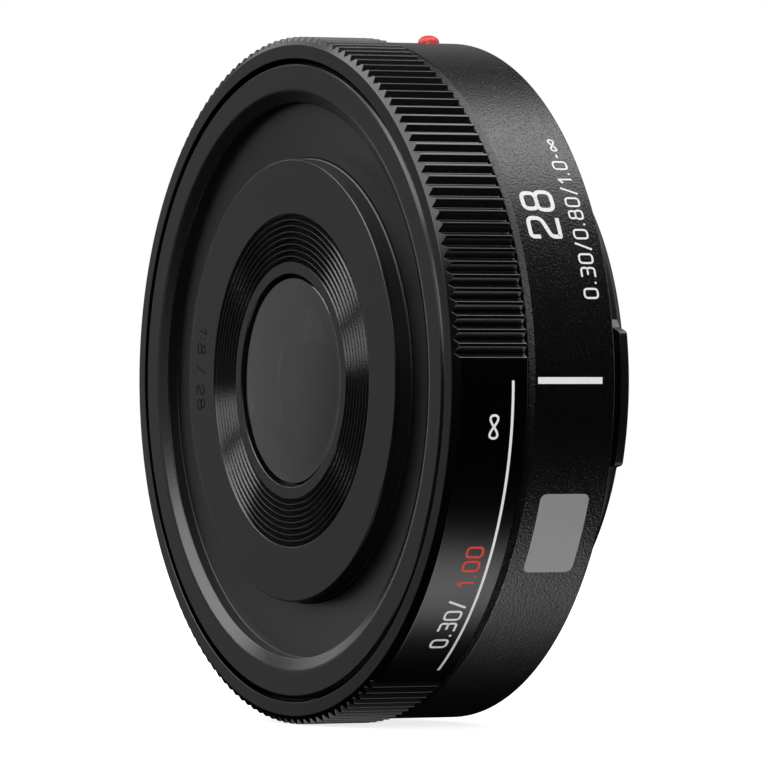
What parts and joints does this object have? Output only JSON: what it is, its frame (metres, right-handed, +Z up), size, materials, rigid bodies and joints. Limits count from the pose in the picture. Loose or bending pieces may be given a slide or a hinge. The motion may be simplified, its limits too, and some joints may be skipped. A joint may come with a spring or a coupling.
{
  "type": "prime camera lens",
  "caption": "Slim manual-focus wide-angle camera lens: a ribbed focus ring drives the lens unit forward by a cam, and a bayonet at the rear locks it to a camera body.",
  "frame": {"origin": "centre of the mount flange's contact face, on the optical axis", "axes": "+Y along the optical axis towards the camera, so the lens looks along -Y; +Z up through the red index dot; +X to the right when the lens is seen from its front left as in the picture"},
  "size_m": [0.067, 0.0234, 0.0674],
  "materials": {
    "mount_metal": "satin black",
    "screw_steel": "blackened",
    "textured_paint": "fine leather-like textured black paint",
    "red_dot": "gloss red",
    "inner_plastic": "matte black",
    "slide_plastic": "plain",
    "cover_paint": "fine matte black",
    "ring_anodised": "satin black anodised",
    "cam_metal": "machined",
    "pin_steel": "ground",
    "coated_glass": "anti-reflection coated"
  },
  "bodies": {
    "lens_body": {"mount_bayonet": "mount_metal", "mount_screw_1": "screw_steel", "mount_screw_2": "screw_steel", "mount_screw_3": "screw_steel", "mount_screw_4": "screw_steel", "rear_barrel": "textured_paint", "index_dot": "red_dot", "guide_sleeve": "inner_plastic", "sleeve_screw_1": "screw_steel", "sleeve_screw_2": "screw_steel", "sleeve_screw_3": "screw_steel", "slide_ring": "slide_plastic", "front_cover": "cover_paint", "rear_baffle": "inner_plastic", "baffle_screw_1": "screw_steel", "baffle_screw_2": "screw_steel", "baffle_screw_3": "screw_steel"},
    "focus_group": {"focus_ring": "ring_anodised", "cam_ring": "cam_metal", "ring_screw_1": "screw_steel", "ring_screw_2": "screw_steel", "ring_screw_3": "screw_steel"},
    "lens_unit": {"front_plate": "cover_paint", "lens_barrel": "inner_plastic", "follower_pin_1": "pin_steel", "follower_pin_2": "pin_steel", "follower_pin_3": "pin_steel", "lens_cell": "inner_plastic", "front_element": "coated_glass", "front_spacer": "inner_plastic", "element_2": "coated_glass", "aperture_stop": "inner_plastic", "element_3": "coated_glass", "rear_spacer": "inner_plastic", "rear_element": "coated_glass", "rear_retaining_ring": "inner_plastic"}
  },
  "joints": [
    {"name": "focus_turn", "type": "hinge", "parent": "lens_body", "child": "focus_group", "pos_m": [0, 0, 0], "axis": [0, -1, 0], "range_deg": [0, 56]},
    {"name": "focus_slide", "type": "slide", "parent": "lens_body", "child": "lens_unit", "axis": [0, -1, 0], "range_m": [0, 0.0035]}
  ],
  "couplings": [
    {"joint": "focus_turn", "follows": "focus_slide", "rad_per_m": 279.25}
  ]
}
